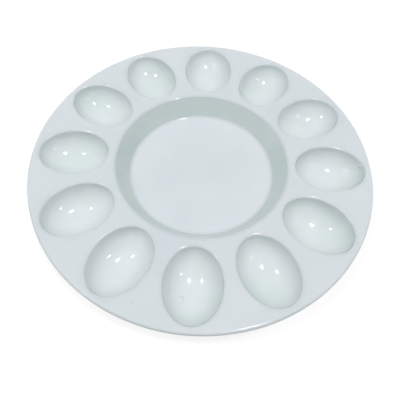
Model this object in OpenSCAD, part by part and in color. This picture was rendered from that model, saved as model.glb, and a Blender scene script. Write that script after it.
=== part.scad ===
// Round serving platter for halved eggs: one pressed and fired clay body with
// a ring of oval wells round a flat centre bowl, dipped in glaze that is wiped
// off where the platter stands. The wells and the bowl set the size of the
// whole, 305 mm across and 26 mm high here. The origin is the centre of the
// foot ring's face on the table, +Z is up and one well lies along -Y.

/* [Egg wells] */
// Number of wells in the ring
well_count = 12; // [6:1:14]
// Length of a well's opening, measured inside its lip
well_l = 62.4; // [54:0.2:72]
// Width of a well's opening, measured inside its lip
well_w = 47; // [40:0.5:54]
// Depth of a well below the deck
well_depth = 18.5; // [14:0.5:22]
// Radius of the lip round a well
well_lip_r = 1.7; // [1:0.1:2.2]

/* [Centre bowl] */
// Diameter of the bowl where its wall meets the deck
bowl_d = 155; // [132:1:180]
// How far the wall leans in on its way down to the flat floor
bowl_lean = 11.8; // [8:0.2:16]
// Depth of the floor below the deck
bowl_depth = 17.5; // [13:0.5:21]
// Radius of the lip round the bowl
bowl_lip_r = 2; // [1:0.1:3]
// Radius where the wall runs into the floor
bowl_heel_r = 3; // [1:0.5:4]

/* [Deck] */
// Thickness of the wall, glaze included; the rim is rounded to a full half circle
wall_t = 4.4; // [3.6:0.1:5.2]
// Width of the deck between the bowl and a well's opening
bowl_land = 6.8; // [5:0.2:12]
// Width of the deck between a well's opening and the platter's edge
rim_land = 5.8; // [4.8:0.2:16]
// Radius under the deck, where the bowl's wall leaves it
under_r = 1.2; // [0.5:0.1:3]

/* [Foot ring] */
// Least height of the base above the table
foot_h = 4.1; // [3:0.1:8]
// Least gap between a well and the table
well_gap = 3.1; // [2:0.1:7]
// How far the ring stands in from the edge of the bowl's floor
foot_inset = 5.7; // [4.5:0.1:16]
// Width of the ring on the table
foot_w = 4; // [3:0.1:6]
// How much the ring widens on each side on its way up
foot_flare = 1; // [0.5:0.1:1.5]
// Radius on the ring's two lower edges
foot_edge_r = 0.8; // [0.4:0.1:1]
// Radius where the ring leaves the base
foot_root_r = 1.2; // [0.5:0.1:1.5]

/* [Glaze] */
// Thickness of the glaze coat
glaze_t = 0.35; // [0.2:0.05:0.5]
// Height of the bare band, wiped clean above the table
bare_h = 1; // [0.8:0.1:1.4]

/* [Hidden] */

bowl_r = bowl_d / 2;
floor_r = bowl_r - bowl_lean;
well_ring_r = bowl_r + bowl_land + well_l / 2;
platter_r = well_ring_r + well_l / 2 + rim_land;
// The deck stands as high as the deeper of the wells and the bowl needs
platter_h = wall_t + max(well_depth + well_gap, bowl_depth + foot_h);
floor_z = platter_h - bowl_depth;
foot_r = floor_r - foot_inset;
foot_inner_r = foot_r - foot_w;
// How far the bowl wall's corners step out, for each unit that a surface moves in
wall_angle = atan(bowl_depth / bowl_lean);
corner_step = tan(wall_angle / 2);
// How far a cut runs on into the air
overrun = 1;
// Straight steps in a rounded corner of the turned outline
corner_steps = 4;
fine = 96;

bisque = [0.90, 0.87, 0.81];
glaze_white = [0.86, 0.89, 0.90];

function unit(v) = v / norm(v);
function turned(v, a) = [v.x * cos(a) - v.y * sin(a), v.x * sin(a) + v.y * cos(a)];

// One corner of an outline, rounded to radius r, on the way from one point to another
function round_corner(from, at, to, r) =
    let (back = unit(from - at), on = unit(to - at), half = acos(back * on) / 2)
    let (middle = at + unit(back + on) * r / sin(half), start = at + back * r / tan(half) - middle)
    let (sweep = acos(-back * on) * (back.x * on.y > back.y * on.x ? -1 : 1))
    [for (i = [0 : corner_steps]) middle + turned(start, sweep * i / corner_steps)];

// An open outline from a list of corners, each with the radius that rounds it
function round_outline(points, radii) = [for (i = [0 : len(points) - 1])
    each radii[i] > 0 ? round_corner(points[i - 1], points[i], points[i + 1], radii[i]) : [points[i]]];

// The platter's turned outline without its round rim, every surface moved in by inset
module turned_section(inset) {
    rim_r = platter_r - wall_t / 2;
    skin = wall_t - inset;
    base_z = floor_z - skin;
    face = round_outline(
        [[0, floor_z - inset],
         [floor_r + inset * corner_step, floor_z - inset],
         [bowl_r + inset * corner_step, platter_h - inset],
         [rim_r, platter_h - inset]],
        [0, bowl_heel_r + inset, bowl_lip_r - inset, 0]);
    underside = round_outline(
        [[rim_r, platter_h - skin],
         [bowl_r + skin * corner_step, platter_h - skin],
         [floor_r + skin * corner_step, base_z],
         [foot_r + foot_flare - inset, base_z],
         [foot_r - inset, 0],
         [foot_inner_r + inset, 0],
         [foot_inner_r - foot_flare + inset, base_z],
         [0, base_z]],
        [0, under_r + inset, bowl_heel_r + skin, foot_root_r + inset,
         foot_edge_r, foot_edge_r, foot_root_r + inset, 0]);
    polygon(concat(face, underside));
    translate([rim_r, platter_h - wall_t / 2]) circle(r = wall_t / 2 - inset, $fn = fine);
}

module turned_form(inset) {
    rotate_extrude($fn = fine) turned_section(inset);
}

// The hollow of a well and its lip, made round and then stretched to the oval
module well_hollow(inset) {
    size = [well_l / 2 + inset, well_w / 2 + inset, well_depth];
    lip = (well_lip_r - inset) / size.y;
    lip_middle = [sqrt(1 + 2 * lip), -lip];
    lip_start = unit(lip_middle);
    top = overrun / size.z;
    translate([0, 0, platter_h - inset]) scale(size) rotate_extrude($fn = fine) {
        intersection() {
            circle(r = 1, $fn = fine);
            translate([0, -1]) square([1, 1 + lip_start.y]);
        }
        difference() {
            polygon([[0, lip_start.y], lip_start, lip_middle, [lip_middle.x, top], [0, top]]);
            translate(lip_middle) circle(r = lip, $fn = fine);
        }
    }
}

// The clay that bulges under the deck round a well
module well_bulge(inset) {
    skin = wall_t - inset;
    size = [well_l / 2 + skin, well_w / 2 + skin, well_depth + skin];
    translate([0, 0, platter_h]) difference() {
        scale(size) sphere(r = 1, $fn = fine);
        translate([-size.x, -size.y, -wall_t / 2]) cube([2 * size.x, 2 * size.y, size.z + wall_t]);
    }
}

module well_places() {
    for (i = [0 : well_count - 1])
        rotate(360 * i / well_count - 90) translate([well_ring_r, 0, 0]) children();
}

// The whole platter, with every surface moved in by the given depth
module platter_form(inset) {
    difference() {
        union() {
            turned_form(inset);
            well_places() well_bulge(inset);
        }
        well_places() well_hollow(inset);
    }
}

// All that lies inside the middle of the foot ring, up to the middle of the base
module foot_core() {
    cylinder(r = foot_r - foot_w / 2, h = floor_z - wall_t / 2, $fn = fine);
}

// The height that is wiped bare of glaze above the table
module bare_band() {
    translate([0, 0, -overrun]) cylinder(r = platter_r, h = bare_h + overrun, $fn = fine);
}

// The fired clay, bare only on the foot ring
module clay_body() {
    color(bisque) platter_form(glaze_t);
}

// Glaze on the face, the rim and the underside down to the foot ring
module face_glaze() {
    color(glaze_white) difference() {
        platter_form(0);
        platter_form(glaze_t);
        foot_core();
        bare_band();
    }
}

// Glaze on the base inside the foot ring
module base_glaze() {
    color(glaze_white) difference() {
        intersection() {
            turned_form(0);
            foot_core();
        }
        turned_form(glaze_t);
        bare_band();
    }
}

clay_body();
face_glaze();
base_glaze();
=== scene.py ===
import math
import bmesh
import bpy
from mathutils import Matrix, Vector


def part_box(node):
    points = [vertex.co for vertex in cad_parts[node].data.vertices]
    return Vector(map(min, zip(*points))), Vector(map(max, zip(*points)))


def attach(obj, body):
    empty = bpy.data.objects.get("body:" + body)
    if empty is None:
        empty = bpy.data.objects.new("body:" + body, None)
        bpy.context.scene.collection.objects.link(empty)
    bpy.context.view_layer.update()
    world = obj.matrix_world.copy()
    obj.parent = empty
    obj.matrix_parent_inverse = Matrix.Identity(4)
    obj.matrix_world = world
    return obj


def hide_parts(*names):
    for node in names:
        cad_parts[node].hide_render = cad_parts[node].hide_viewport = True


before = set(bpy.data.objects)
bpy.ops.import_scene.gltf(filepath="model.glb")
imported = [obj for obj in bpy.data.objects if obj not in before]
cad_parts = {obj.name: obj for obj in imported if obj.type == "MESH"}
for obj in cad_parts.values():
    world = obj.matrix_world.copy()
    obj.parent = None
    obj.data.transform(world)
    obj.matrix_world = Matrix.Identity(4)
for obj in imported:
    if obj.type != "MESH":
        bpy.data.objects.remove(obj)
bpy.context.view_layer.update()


# The fired clay body. One casting of light earthenware carries the deck, the wells, the bowl
# and the foot ring. It stays as built: only the ring's foot shows, dry and faintly grainy.
mm = 0.001
clay_dark = (0.66, 0.58, 0.47, 1)
clay_light = (0.80, 0.74, 0.64, 1)


def new_material(name):
    """A material, its node tree and its shader."""
    material = bpy.data.materials.new(name)
    material.use_nodes = True
    tree = material.node_tree
    return material, tree, tree.nodes["Principled BSDF"]


def feed(tree, node, sources):
    """Links or sets inputs of a node, from pairs of an input and an output socket or a value."""
    for name, source in sources:
        if isinstance(source, bpy.types.NodeSocket):
            tree.links.new(source, node.inputs[name])
        else:
            node.inputs[name].default_value = source


def add_node(tree, kind, sources=(), **settings):
    """A node with its settings made and its inputs fed."""
    node = tree.nodes.new(kind)
    for key, value in settings.items():
        setattr(node, key, value)
    feed(tree, node, sources)
    return node


def add_noise(tree, place, per_metre, octaves):
    """A soft uneven value, mostly between 0.3 and 0.7, with about so many lumps to a metre."""
    return add_node(tree, "ShaderNodeTexNoise",
                    [("Vector", place), ("Scale", per_metre), ("Detail", octaves)]).outputs["Fac"]


def add_tone(tree, share, tones):
    """A colour that follows a share, from pairs of a share and its colour in rising order."""
    ramp = add_node(tree, "ShaderNodeValToRGB", [("Fac", share)])
    stops = ramp.color_ramp.elements
    stops[0].position, stops[0].color = tones[0]
    stops[1].position, stops[1].color = tones[-1]
    for position, colour in tones[1:-1]:
        stops.new(position).color = colour
    return ramp.outputs["Color"]


def make_relief():
    """The fine relief that firing leaves on clay and glaze alike: soft lumps, put out as a normal."""
    group = bpy.data.node_groups.new("fired relief", "ShaderNodeTree")
    group.interface.new_socket("Place", in_out="INPUT", socket_type="NodeSocketVector")
    for name in ("Lumps per Metre", "Octaves", "Strength", "Depth"):
        group.interface.new_socket(name, in_out="INPUT", socket_type="NodeSocketFloat")
    group.interface.new_socket("Normal", in_out="OUTPUT", socket_type="NodeSocketVector")
    given = add_node(group, "NodeGroupInput").outputs
    lumps = add_noise(group, given["Place"], given["Lumps per Metre"], given["Octaves"])
    bump = add_node(group, "ShaderNodeBump",
                    [("Height", lumps), ("Strength", given["Strength"]), ("Distance", given["Depth"])])
    add_node(group, "NodeGroupOutput", [("Normal", bump.outputs["Normal"])])
    return group


fired_relief = make_relief()


def add_relief(tree, place, per_metre, octaves, strength, depth):
    """The normal of a surface with its own fired relief, of about so many lumps to a metre."""
    values = [("Place", place), ("Lumps per Metre", per_metre), ("Octaves", octaves),
              ("Strength", strength), ("Depth", depth)]
    return add_node(tree, "ShaderNodeGroup", values, node_tree=fired_relief).outputs["Normal"]


def give_material(piece, material):
    piece.data.materials.clear()
    piece.data.materials.append(material)


bisque, tree, shader = new_material("bisque clay")
place = add_node(tree, "ShaderNodeTexCoord").outputs["Object"]
grain = add_relief(tree, place, per_metre=1400, octaves=6, strength=0.5, depth=0.1 * mm)
blotch = add_noise(tree, place, per_metre=90, octaves=3)
feed(tree, shader, [
    ("Base Color", add_tone(tree, blotch, ((0, clay_dark), (1, clay_light)))),
    ("Roughness", 0.85),
    ("Normal", grain),
])
give_material(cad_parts["clay_body"], bisque)


# The glaze on the face: a glass coat over the deck, the wells, the bowl, the rim and the
# underside. One well is drawn up from its round bottom, over its lip and out to a twelfth of
# the deck. It is then repeated round the axis, and the rim, bowl and foot are drawn from it.
face_lo, face_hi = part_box("face_glaze")
deck_z = face_hi.z
platter_r = face_hi.x
wall_t = 4.4 * mm
glaze_t = 0.35 * mm
bare_h = face_lo.z

well_count = 12
well_ring_r = 115.5 * mm
well_half_l = 31.2 * mm
well_half_w = 23.5 * mm
well_depth = 18.5 * mm
well_lip_r = 1.7 * mm
crease_r = 1.2 * mm

bowl_r = 77.5 * mm
bowl_floor_r = 65.7 * mm
bowl_depth = 17.5 * mm
bowl_lip_r = 2 * mm
bowl_heel_r = 3 * mm

under_lip_r = 1.2 * mm
foot_r = 60 * mm
foot_flare = 1 * mm
foot_root_r = 1.2 * mm

rim_r = platter_r - wall_t / 2
well_middle = (0, -well_ring_r, deck_z)
half_sector = math.pi / well_count
floor_z = deck_z - bowl_depth
under_z = deck_z - wall_t
base_z = floor_z - wall_t
# how far the corners of the bowl's wall step out for each unit that its surface moves in
corner_step = math.tan(math.atan(bowl_depth / (bowl_r - bowl_floor_r)) / 2)
under_bowl_r = bowl_r + wall_t * corner_step
under_floor_r = bowl_floor_r + wall_t * corner_step
# how far the sides of the foot ring have flared where the glaze ends
edge_flare = foot_flare * bare_h / base_z

# faces round one oval, the last ring's radius before a middle is closed, and the mesh's tolerance
segments = 48
closing_r = 2 * mm
weld = 0.01 * mm


def round_corner(start, corner, end, radius, steps):
    """The points of an arc that rounds a corner of a section, from its start side to its end side."""
    start, corner, end = Vector(start), Vector(corner), Vector(end)
    back, on = (start - corner).normalized(), (end - corner).normalized()
    half = math.acos(back.dot(on)) / 2
    middle = corner + (back + on).normalized() * radius / math.sin(half)
    first = corner + back * radius / math.tan(half) - middle
    turn = -1 if back.x * on.y > back.y * on.x else 1
    sweep = turn * (math.pi - 2 * half)
    return [middle + Matrix.Rotation(sweep * i / steps, 2) @ first for i in range(steps + 1)]


def between(a, b, steps):
    """The points that split a straight stretch of a section into even steps, without its ends."""
    return [a.lerp(b, i / steps) for i in range(1, steps)]


def select_only(*pieces):
    """Selects these pieces and makes the first of them the active one."""
    bpy.ops.object.select_all(action="DESELECT")
    for piece in pieces:
        piece.select_set(True)
    bpy.context.view_layer.objects.active = pieces[0]


def edit(piece):
    """Opens a piece in edit mode, with vertices to select."""
    select_only(piece)
    bpy.ops.object.mode_set(mode="EDIT")
    bpy.ops.mesh.select_mode(type="VERT")


def select_where(piece, test):
    """Selects the vertices that pass the test, in edit mode, with the edges between them."""
    bm = bmesh.from_edit_mesh(piece.data)
    for v in bm.verts:
        v.select = test(v.co)
    bm.select_flush_mode()
    bm.select_flush(True)
    bmesh.update_edit_mesh(piece.data)


def select_ring(piece, radius, height):
    """Selects the vertices that lie at a radius from the platter's axis and at a height."""
    select_where(piece, lambda co: abs(co.xy.length - radius) < weld and abs(co.z - height) < weld)


def draw_ring(scale, rise, centre):
    """Extrudes the selected ring once, then scales it about the centre and lifts it."""
    bpy.ops.mesh.extrude_region_move(TRANSFORM_OT_translate={"value": (0, 0, rise)})
    bpy.ops.transform.resize(value=(scale, scale, 1), center_override=centre)


def draw_section(section, radius, height):
    """Draws the selected ring, which lies at radius and height, round through each (radius, height)."""
    for r, z in section:
        draw_ring(r / radius, z - height, (0, 0, 0))
        radius, height = r, z


def draw_well_lip(middle, radius, depth, steps):
    """Draws the selected oval ring round the arc that leads from a well's side to the level deck.

    The arc's middle and radius are shares of the well's half width across and of its depth down.
    """
    last = middle.normalized()
    turn_from = math.atan2(-last.y, -last.x)
    for i in range(1, steps + 1):
        turn = turn_from + (math.pi / 2 - turn_from) * i / steps
        point = middle + radius * Vector((math.cos(turn), math.sin(turn)))
        draw_ring(point.x / last.x, (point.y - last.y) * depth, well_middle)
        last = point


def close_middle():
    """Closes the selected ring to one vertex in its middle."""
    bpy.ops.mesh.extrude_region_move()
    bpy.ops.mesh.merge(type="CENTER")


def sector_point(angle, inner_r):
    """Where the ray that leaves a well's middle at an angle round its oval meets the sector's edge."""
    ray = Vector((well_half_w * math.cos(angle), well_half_l * math.sin(angle))).normalized()
    middle = Vector((0, -well_ring_r))
    along = middle.dot(ray)
    reach = [-along + math.sqrt(along ** 2 - well_ring_r ** 2 + rim_r ** 2)]
    inner = along ** 2 - well_ring_r ** 2 + inner_r ** 2
    if along < 0 and inner > 0:
        reach.append(-along - math.sqrt(inner))
    side = abs(ray.x) + ray.y * math.tan(half_sector)
    if side > 0:
        reach.append(well_ring_r * math.tan(half_sector) / side)
    return middle + ray * min(reach)


def draw_sector(piece, half_w, half_l, inner_r, shares):
    """Draws the selected oval ring out, over a few steps, to the edge of a twelfth of the deck."""
    bm = bmesh.from_edit_mesh(piece.data)
    ring = {}
    for v in (v for v in bm.verts if v.select):
        angle = math.atan2((v.co.y + well_ring_r) / half_l, v.co.x / half_w)
        ring[round(angle / (2 * math.pi) * segments) % segments] = v.co.copy()
    target = {i: sector_point(2 * math.pi * i / segments, inner_r) for i in ring}
    for r in (inner_r, rim_r):
        for side in (-1, 1):
            corner = Vector((side * r * math.sin(half_sector), -r * math.cos(half_sector)))
            target[min(target, key=lambda i: (target[i] - corner).length)] = corner
    now = ring
    for share in shares:
        bpy.ops.mesh.extrude_region_move()
        bm = bmesh.from_edit_mesh(piece.data)
        after = {i: Vector((*ring[i].xy.lerp(target[i], share), ring[i].z)) for i in ring}
        for v in (v for v in bm.verts if v.select):
            v.co = after[min(now, key=lambda i: (v.co - now[i]).length)]
        bmesh.update_edit_mesh(piece.data)
        now = after


def keep_in_sector(piece, inner_r, outer_r):
    """Moves the selected vertices that lie past the deck's flat part back to its edge."""
    bm = bmesh.from_edit_mesh(piece.data)
    for v in (v for v in bm.verts if v.select):
        v.co.xy *= min(max(v.co.xy.length, inner_r), outer_r) / v.co.xy.length
    bmesh.update_edit_mesh(piece.data)


def repeat_sector():
    """Repeats the sector in edit mode round the platter's axis and welds the seams."""
    bpy.ops.mesh.select_all(action="SELECT")
    bpy.ops.mesh.spin(steps=well_count - 1, dupli=True, angle=2 * math.pi - 2 * half_sector,
                      center=(0, 0, 0), axis=(0, 0, 1))
    bpy.ops.mesh.select_all(action="SELECT")
    bpy.ops.mesh.remove_doubles(threshold=weld)
    bpy.ops.mesh.select_all(action="DESELECT")
    bpy.ops.object.mode_set(mode="OBJECT")


def add_half_ball(name, half_w, half_l, depth, cut_z, rings):
    """The lower part of an oval ball under the front well's middle, with its top ring selected."""
    bpy.ops.object.select_all(action="DESELECT")
    bpy.ops.mesh.primitive_uv_sphere_add(segments=segments, ring_count=rings, radius=1,
                                         location=well_middle, scale=(half_w, half_l, depth))
    bpy.ops.object.transform_apply(location=True, rotation=True, scale=True)
    piece = bpy.context.object
    piece.name = name
    edit(piece)
    bpy.ops.mesh.select_all(action="SELECT")
    bpy.ops.mesh.bisect(plane_co=(0, 0, cut_z), plane_no=(0, 0, 1), clear_outer=True, threshold=weld)
    select_where(piece, lambda co: abs(co.z - cut_z) < weld)
    return piece


# the well, its lip and its part of the deck
lip = well_lip_r / well_half_w
lip_middle = Vector((math.sqrt(1 + 2 * lip), -lip))
lip_foot_z = deck_z + lip_middle.normalized().y * well_depth
skin = add_half_ball("glazed_face", well_half_w, well_half_l, well_depth, lip_foot_z, rings=50)
draw_well_lip(lip_middle, lip, well_depth, steps=7)
bowl_lip = round_corner((rim_r, deck_z), (bowl_r, deck_z), (bowl_floor_r, floor_z), bowl_lip_r, steps=6)
draw_sector(skin, well_half_w, well_half_l, bowl_lip[0].x, shares=(0.12, 0.4, 0.7, 1))
repeat_sector()

# the bowl, drawn in from the deck and closed in the middle of its floor
edit(skin)
select_ring(skin, bowl_lip[0].x, deck_z)
bowl_heel = round_corner((bowl_r, deck_z), (bowl_floor_r, floor_z), (0, floor_z), bowl_heel_r, steps=6)
bowl_middle = Vector((closing_r, floor_z))
bowl_wall = between(bowl_lip[-1], bowl_heel[0], steps=5)
bowl_floor = between(bowl_heel[-1], bowl_middle, steps=12)
draw_section(bowl_lip[1:] + bowl_wall + bowl_heel + bowl_floor + [bowl_middle], bowl_lip[0].x, deck_z)
close_middle()
bpy.ops.object.mode_set(mode="OBJECT")

# the underside of a well, with its part of the deck's underside
bulge_half_w = well_half_w + wall_t
bulge_half_l = well_half_l + wall_t
bulge_depth = well_depth + wall_t
crease = crease_r / bulge_half_w
crease_z = wall_t / bulge_depth
crease_middle = Vector((math.sqrt((1 + crease) ** 2 - (crease_z + crease) ** 2), -crease_z - crease))
crease_foot_z = deck_z + crease_middle.normalized().y * bulge_depth
under = add_half_ball("glazed_underside", bulge_half_w, bulge_half_l, bulge_depth, crease_foot_z, rings=32)
draw_well_lip(crease_middle, crease, bulge_depth, steps=4)
under_lip = round_corner((rim_r, under_z), (under_bowl_r, under_z), (under_floor_r, base_z),
                         under_lip_r, steps=4)
sector_gap = 0.1 * mm
keep_in_sector(under, under_lip[0].x + sector_gap, rim_r - sector_gap)
draw_sector(under, bulge_half_w, bulge_half_l, under_lip[0].x, shares=(0.3, 0.65, 1))
repeat_sector()

# the underside of the bowl, drawn in from the deck and down the outside of the foot ring
edit(under)
select_ring(under, under_lip[0].x, under_z)
under_heel = round_corner((under_bowl_r, under_z), (under_floor_r, base_z),
                          (foot_r + foot_flare, base_z), bowl_heel_r + wall_t, steps=8)
foot_root = round_corner((under_floor_r, base_z), (foot_r + foot_flare, base_z), (foot_r, 0),
                         foot_root_r, steps=4)
foot_edge = Vector((foot_r + edge_flare, bare_h))
under_wall = between(under_lip[-1], under_heel[0], steps=4)
foot_side = between(foot_root[-1], foot_edge, steps=2)
draw_section(under_lip[1:] + under_wall + under_heel + foot_root + foot_side + [foot_edge],
             under_lip[0].x, under_z)
bpy.ops.object.mode_set(mode="OBJECT")

# the rounded rim, drawn from the deck's edge round to the underside
select_only(skin, under)
bpy.ops.object.join()
edit(skin)
select_ring(skin, rim_r, deck_z)
rim_steps = 14
rim_arc = [Vector((rim_r + wall_t / 2 * math.sin(math.pi * i / rim_steps),
                   deck_z - wall_t / 2 + wall_t / 2 * math.cos(math.pi * i / rim_steps)))
           for i in range(1, rim_steps + 1)]
draw_section(rim_arc, rim_r, deck_z)
bpy.ops.mesh.select_all(action="SELECT")
bpy.ops.mesh.remove_doubles(threshold=weld)
bpy.ops.mesh.normals_make_consistent(inside=False)
bpy.ops.object.mode_set(mode="OBJECT")

# the coat's uneven flow: how wide its waves are and how much of the coat's thickness they take,
# and the sharpest edge that is still shaded smooth
flow_size = 26 * mm
flow_share = 0.4
smooth_angle = math.radians(50)


def finish_coat(piece):
    """Lets the molten coat flow a little uneven, gives it its thickness and smooths its shading."""
    flow = bpy.data.textures.new(piece.name + "_flow", "CLOUDS")
    flow.noise_scale = flow_size
    flow.noise_depth = 1
    uneven = piece.modifiers.new("flow", "DISPLACE")
    uneven.texture = flow
    uneven.texture_coords = "LOCAL"
    uneven.strength = flow_share * glaze_t
    coat = piece.modifiers.new("coat", "SOLIDIFY")
    coat.thickness = glaze_t
    coat.offset = -1
    select_only(piece)
    for modifier in list(piece.modifiers):
        bpy.ops.object.modifier_apply(modifier=modifier.name)
    bpy.ops.object.shade_smooth_by_angle(angle=smooth_angle)


def ease(value, start, end):
    """How far a value is on its way from start to end, from 0 to 1, with soft ends."""
    share = min(max((value - start) / (end - start), 0), 1)
    return share * share * (3 - 2 * share)


def raise_blister(piece, place, radius, rise, cuts):
    """A blister in the glaze: a small low dome on a patch of finer faces."""
    patch_r = 2 * radius
    edit(piece)
    select_where(piece, lambda co: (co - place).length < patch_r)
    bpy.ops.mesh.subdivide(number_cuts=cuts)
    bm = bmesh.from_edit_mesh(piece.data)
    bm.normal_update()
    for v in bm.verts:
        v.co += v.normal * rise * (1 - ease((v.co - place).length, 0, radius))
    bmesh.update_edit_mesh(piece.data)
    bpy.ops.object.mode_set(mode="OBJECT")


# the blister, high on the outer side of the well at the right
blister_place = Vector((144.4, 7.4, 22.2)) * mm
raise_blister(skin, blister_place, radius=2.4 * mm, rise=1.3 * mm, cuts=3)
finish_coat(skin)

# the shares that the glaze's tone is read from: partly how the glaze ran, partly painted shade and light
shade_by_bowl = 0
by_lips = 0.12
on_floor = 0.21
on_deck = 0.25
pooled_and_painted_light = 0.6
thin_and_painted_shade = 1

# how much a face in the bowl leans where its painted shade, partly a thinner glaze, starts and
# where it is darkest
lean_starts = 0.15
lean_full = 0.42

# the radii between which the painted shade by the bowl turns to the deck's tone, how far out from
# a lip its tone is full and then gone, and how far out from a well's opening its pooled tint and
# painted light are gone
bowl_tone_ends = 90 * mm
deck_tone_starts = 125 * mm
lip_tone_full = 1 * mm
lip_tone_gone = 9 * mm
pool_tone_gone = 1.5 * mm

# a line of painted shade round each lip, standing in for a rounder lip's shading, and a band of
# painted light below a well's lip
lip_line_out = 0.8 * mm
lip_line_reach = 1.4 * mm
lip_line_loss = 0.055
lit_band_down = 1.5 * mm
lit_band_reach = 1.8 * mm
lit_band_gone = 1 * mm
lit_band_gain = 0.09


def past_well(co):
    """How far out a place lies from the opening of the nearest well, below zero inside it."""
    radius = co.xy.length
    turn = math.atan2(co.x, -co.y)
    turn -= round(turn / (2 * half_sector)) * 2 * half_sector
    across, along = radius * math.sin(turn), radius * math.cos(turn) - well_ring_r
    return (math.hypot(across / well_half_w, along / well_half_l) - 1) * well_half_w


def glaze_run_and_light(co, normal):
    """The share that the glaze's tone is read from at a place of the given slope, with painted shade and
    light.
    """
    radius = co.xy.length
    if radius < bowl_r:
        # darker on the bowl's steeper faces: mostly painted shade, partly the glaze running thinner
        return on_floor + (thin_and_painted_shade - on_floor) * ease(1 - normal.z, lean_starts, lean_full)
    past = past_well(co)
    # painted shade on the deck near the bowl, fading out towards the rim
    level = shade_by_bowl + (on_deck - shade_by_bowl) * ease(radius, bowl_tone_ends, deck_tone_starts)
    near_lip = 1 - ease(min(past, radius - bowl_r), lip_tone_full, lip_tone_gone)
    level += (by_lips - level) * near_lip
    # inside the wells: a greener pooled tint, with painted light that makes them paler
    return level + (pooled_and_painted_light - level) * (1 - ease(past, 0, pool_tone_gone))


def lip_shade(co, normal):
    """What the glaze's tone is multiplied by at a place: painted shade on a line round each lip, painted
    light on a band below it.
    """
    past = past_well(co)
    # painted shade on a line just outside the lip, painted light on a band just inside it
    line = 1 - ease(abs(past - lip_line_out), 0, lip_line_reach)
    lit_band = (1 - ease(abs(deck_z - co.z - lit_band_down), 0, lit_band_reach)) * (1 - ease(past, 0, lit_band_gone))
    return 1 + (lit_band_gain * lit_band - lip_line_loss * line) * (normal.z > 0)


def mark_glaze(piece):
    """Keeps both measures on a piece's vertices, where the glaze's material reads them."""
    for name, measure in (("glaze_run_and_light", glaze_run_and_light), ("lip_shade", lip_shade)):
        marks = piece.data.attributes.new(name, "FLOAT", "POINT")
        marks.data.foreach_set("value", [measure(v.co, v.normal) for v in piece.data.vertices])


mark_glaze(skin)

# the glaze's tones along its run, painted shade and painted light among them, how far its cloudy
# mottle shifts a place along them either way, and the values of the clouds' noise at which the shift is
# full
glaze_tones = (
    (shade_by_bowl, (0.640, 0.705, 0.740, 1)),
    (by_lips, (0.658, 0.722, 0.744, 1)),
    (on_deck, (0.675, 0.728, 0.763, 1)),
    (pooled_and_painted_light, (0.705, 0.763, 0.770, 1)),
    (thin_and_painted_shade, (0.595, 0.680, 0.675, 1)),
)
mottle_share = 0.2
cloud_low = 0.3
cloud_high = 0.7

# lines of painted shade round the bowl's lip and in its heel: radius, reach and how much darker each is
heel_line_in = 1 * mm
bowl_shade_lines = (
    (bowl_r + lip_line_out, 2.2 * mm, 0.07),
    (bowl_floor_r - heel_line_in, 2.4 * mm, 0.045),
)

# the dark specks: place and radius in millimetres, then the shares of that radius at which a
# speck starts to fade and is gone, and how much of the glaze's tone is left in a speck
specks = (
    ((-44, -132.4, 26), 0.38),
    ((-7.7, -120.7, 8.8), 0.5),
    ((-9.5, -120.6, 9.3), 0.3),
    ((-6.6, -122.7, 8.8), 0.35),
)
speck_fade_share = 0.5
speck_gone_share = 1.2
speck_tone = 0.4


def add_math(tree, operation, *terms):
    """The result of one step of arithmetic on output sockets or values."""
    return add_node(tree, "ShaderNodeMath", enumerate(terms), operation=operation).outputs[0]


def add_vector_math(tree, operation, *terms):
    """The outputs of one step of arithmetic on places, given as output sockets or values."""
    return add_node(tree, "ShaderNodeVectorMath", enumerate(terms), operation=operation).outputs


def darken_near(tree, kept, away, dark_to, clean_from, tone, blend):
    """Multiplies what is kept by the tone up to one distance, and by one past a greater one."""
    near = add_node(tree, "ShaderNodeMapRange",
                    [("Value", away), ("From Min", dark_to), ("From Max", clean_from), ("To Min", tone)],
                    interpolation_type=blend)
    return add_math(tree, "MULTIPLY", kept, near.outputs["Result"])


glaze, tree, shader = new_material("white glaze")
place = add_node(tree, "ShaderNodeTexCoord").outputs["Object"]
# the share read from how the glaze ran, with painted shade and painted light
run_and_light = add_node(tree, "ShaderNodeAttribute", attribute_name="glaze_run_and_light").outputs["Fac"]
cloud = add_noise(tree, place, per_metre=22, octaves=2)
mottle = add_node(tree, "ShaderNodeMapRange",
                  [("Value", cloud), ("From Min", cloud_low), ("From Max", cloud_high),
                   ("To Min", -mottle_share), ("To Max", mottle_share)]).outputs["Result"]
glaze_tone = add_tone(tree, add_math(tree, "ADD", run_and_light, mottle), glaze_tones)
ripples = add_relief(tree, place, per_metre=160, octaves=2, strength=0.15, depth=0.1 * mm)
# what the tone is multiplied by: painted shade and light at the lips, painted shade in the bowl, real dark
# specks
kept = add_node(tree, "ShaderNodeAttribute", attribute_name="lip_shade").outputs["Fac"]
flat = add_vector_math(tree, "MULTIPLY", place, (1, 1, 0))["Vector"]
from_axis = add_vector_math(tree, "LENGTH", flat)["Value"]
# painted shade on a line round the bowl's lip and another in its heel
for line_r, line_reach, loss in bowl_shade_lines:
    from_line = add_math(tree, "ABSOLUTE", add_math(tree, "SUBTRACT", from_axis, line_r))
    kept = darken_near(tree, kept, from_line, 0, line_reach, 1 - loss, "SMOOTHSTEP")
for speck, speck_r in specks:
    from_speck = add_vector_math(tree, "DISTANCE", place, Vector(speck) * mm)["Value"]
    kept = darken_near(tree, kept, from_speck, speck_fade_share * speck_r * mm,
                       speck_gone_share * speck_r * mm, speck_tone, "LINEAR")
marked = add_node(tree, "ShaderNodeVectorMath", [(0, glaze_tone), ("Scale", kept)], operation="SCALE")
feed(tree, shader, [
    ("Base Color", marked.outputs["Vector"]),
    ("Roughness", 0.11),
    ("IOR", 1.52),
    ("Normal", ripples),
])
give_material(skin, glaze)
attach(skin, "root")
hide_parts("face_glaze")


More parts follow.
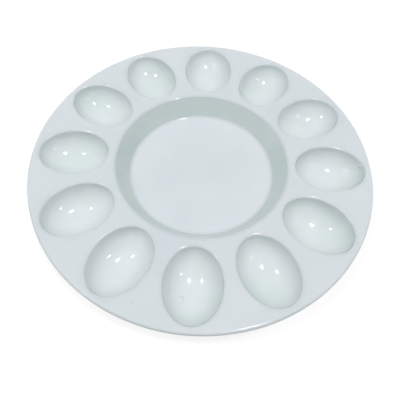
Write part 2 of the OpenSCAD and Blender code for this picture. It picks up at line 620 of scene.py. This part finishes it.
# The glaze on the base: a second pool of the same glass, inside the foot ring, parted from the
# face's coat where the ring was wiped clean. It is drawn up the ring's inside and across the base.
foot_w = 4 * mm
inner_foot_r = foot_r - foot_w
inner_edge = Vector((inner_foot_r - edge_flare, bare_h))
inner_root = round_corner((inner_foot_r, 0), (inner_foot_r - foot_flare, base_z), (0, base_z),
                          foot_root_r, steps=5)
base_middle = Vector((closing_r, base_z))
inner_side = between(inner_edge, inner_root[0], steps=2)
base_face = between(inner_root[-1], base_middle, steps=10)
bpy.ops.object.select_all(action="DESELECT")
bpy.ops.mesh.primitive_circle_add(vertices=120, radius=inner_edge.x, location=(0, 0, bare_h))
base = bpy.context.object
base.name = "glazed_base"
bpy.ops.object.transform_apply(location=True, rotation=True, scale=True)
edit(base)
bpy.ops.mesh.select_all(action="SELECT")
draw_section(inner_side + inner_root + base_face + [base_middle], inner_edge.x, bare_h)
close_middle()
bpy.ops.mesh.select_all(action="SELECT")
bpy.ops.mesh.normals_make_consistent(inside=False)
bpy.ops.object.mode_set(mode="OBJECT")
if min(base.data.polygons, key=lambda face: face.center.xy.length).normal.z > 0:
    base.data.flip_normals()
finish_coat(base)
mark_glaze(base)
give_material(base, glaze)
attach(base, "root")
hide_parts("base_glaze")


# The floor: a wide pale sheet under the foot ring, white to the camera and to the glaze's
# reflections where nothing shades it.
floor_size = 6
floor_glow = 0.82
paper_grey = (0.25, 0.25, 0.25, 1)
white = (1, 1, 1, 1)


def add_seen_white(tree):
    """One to the camera, in reflections and through glass, and zero for the light on the platter."""
    rays = add_node(tree, "ShaderNodeLightPath").outputs
    seen = rays["Is Camera Ray"]
    for ray in ("Is Glossy Ray", "Is Transmission Ray"):
        seen = add_math(tree, "MAXIMUM", seen, rays[ray])
    return seen


bpy.ops.object.select_all(action="DESELECT")
bpy.ops.mesh.primitive_plane_add(size=floor_size, location=(0, 0, 0))
floor = bpy.context.object
floor.name = "floor"
paper, tree, shader = new_material("floor paper")
feed(tree, shader, [
    ("Base Color", paper_grey),
    ("Roughness", 1),
    ("Specular IOR Level", 0),
    ("Emission Color", white),
    ("Emission Strength", add_math(tree, "MULTIPLY", add_seen_white(tree), floor_glow)),
])
give_material(floor, paper)


# The light: a soft sky all round, a broad panel above each side of the platter, and three
# small ceiling lamps whose reflections are the bright spots in every well.
sky_grey = (0.345, 0.345, 0.35, 1)
panel_out = 0.7
panel_up = 1.21
panel_size = 0.8

scene = bpy.context.scene
world = bpy.data.worlds.new("studio")
scene.world = world
world.use_nodes = True
tree = world.node_tree
# a colour mix takes its two colours at inputs 6 and 7 and gives its result at output 2
sky = add_node(tree, "ShaderNodeMix",
               [("Factor", add_seen_white(tree)), (6, sky_grey), (7, white)], data_type="RGBA")
feed(tree, tree.nodes["Background"], [("Color", sky.outputs[2])])


def add_lamp(name, place, size, watts):
    """A round lamp, aimed at the deck."""
    light = bpy.data.lights.new(name, "AREA")
    light.shape = "DISK"
    light.size = size
    light.energy = watts
    lamp = bpy.data.objects.new(name, light)
    scene.collection.objects.link(lamp)
    lamp.location = place
    lamp.rotation_mode = "QUATERNION"
    lamp.rotation_quaternion = (Vector((0, 0, deck_z)) - Vector(place)).to_track_quat("-Z", "Y")
    return lamp


add_lamp("left ceiling lamp", place=(-1.75, -0.17, 3.58), size=0.3, watts=14)
add_lamp("right ceiling lamp", place=(1.26, -0.20, 6.0), size=0.5, watts=75)
add_lamp("far right lamp", place=(1.94, -0.62, 2.15), size=0.2, watts=4)
for name, side, watts in (("left panel", -1, 5), ("right panel", 1, 2.7)):
    panel = add_lamp(name, place=(side * panel_out, 0, panel_up), size=panel_size, watts=watts)
    panel.visible_glossy = False


# The camera stands where the photograph was taken from: a little in front of the rim and about
# 30 cm above the deck, looking down and tilted a little anticlockwise.
camera_aside = 2.63 * mm
camera_back = 209.40 * mm
camera_up = 289.72 * mm
camera_turn = math.radians(0.62)
camera_look_down = math.radians(59.98)
camera_roll = math.radians(3.29)
camera_data = bpy.data.cameras.new("camera")
camera_data.sensor_width = 36
camera_data.lens = 35.64
camera = bpy.data.objects.new("camera", camera_data)
scene.collection.objects.link(camera)
camera.matrix_world = (Matrix.Translation((camera_aside, -camera_back, deck_z + camera_up))
                       @ Matrix.Rotation(camera_turn, 4, "Z")
                       @ Matrix.Rotation(math.pi / 2 - camera_look_down, 4, "X")
                       @ Matrix.Rotation(camera_roll, 4, "Z"))
scene.camera = camera
scene.view_settings.view_transform = "Standard"
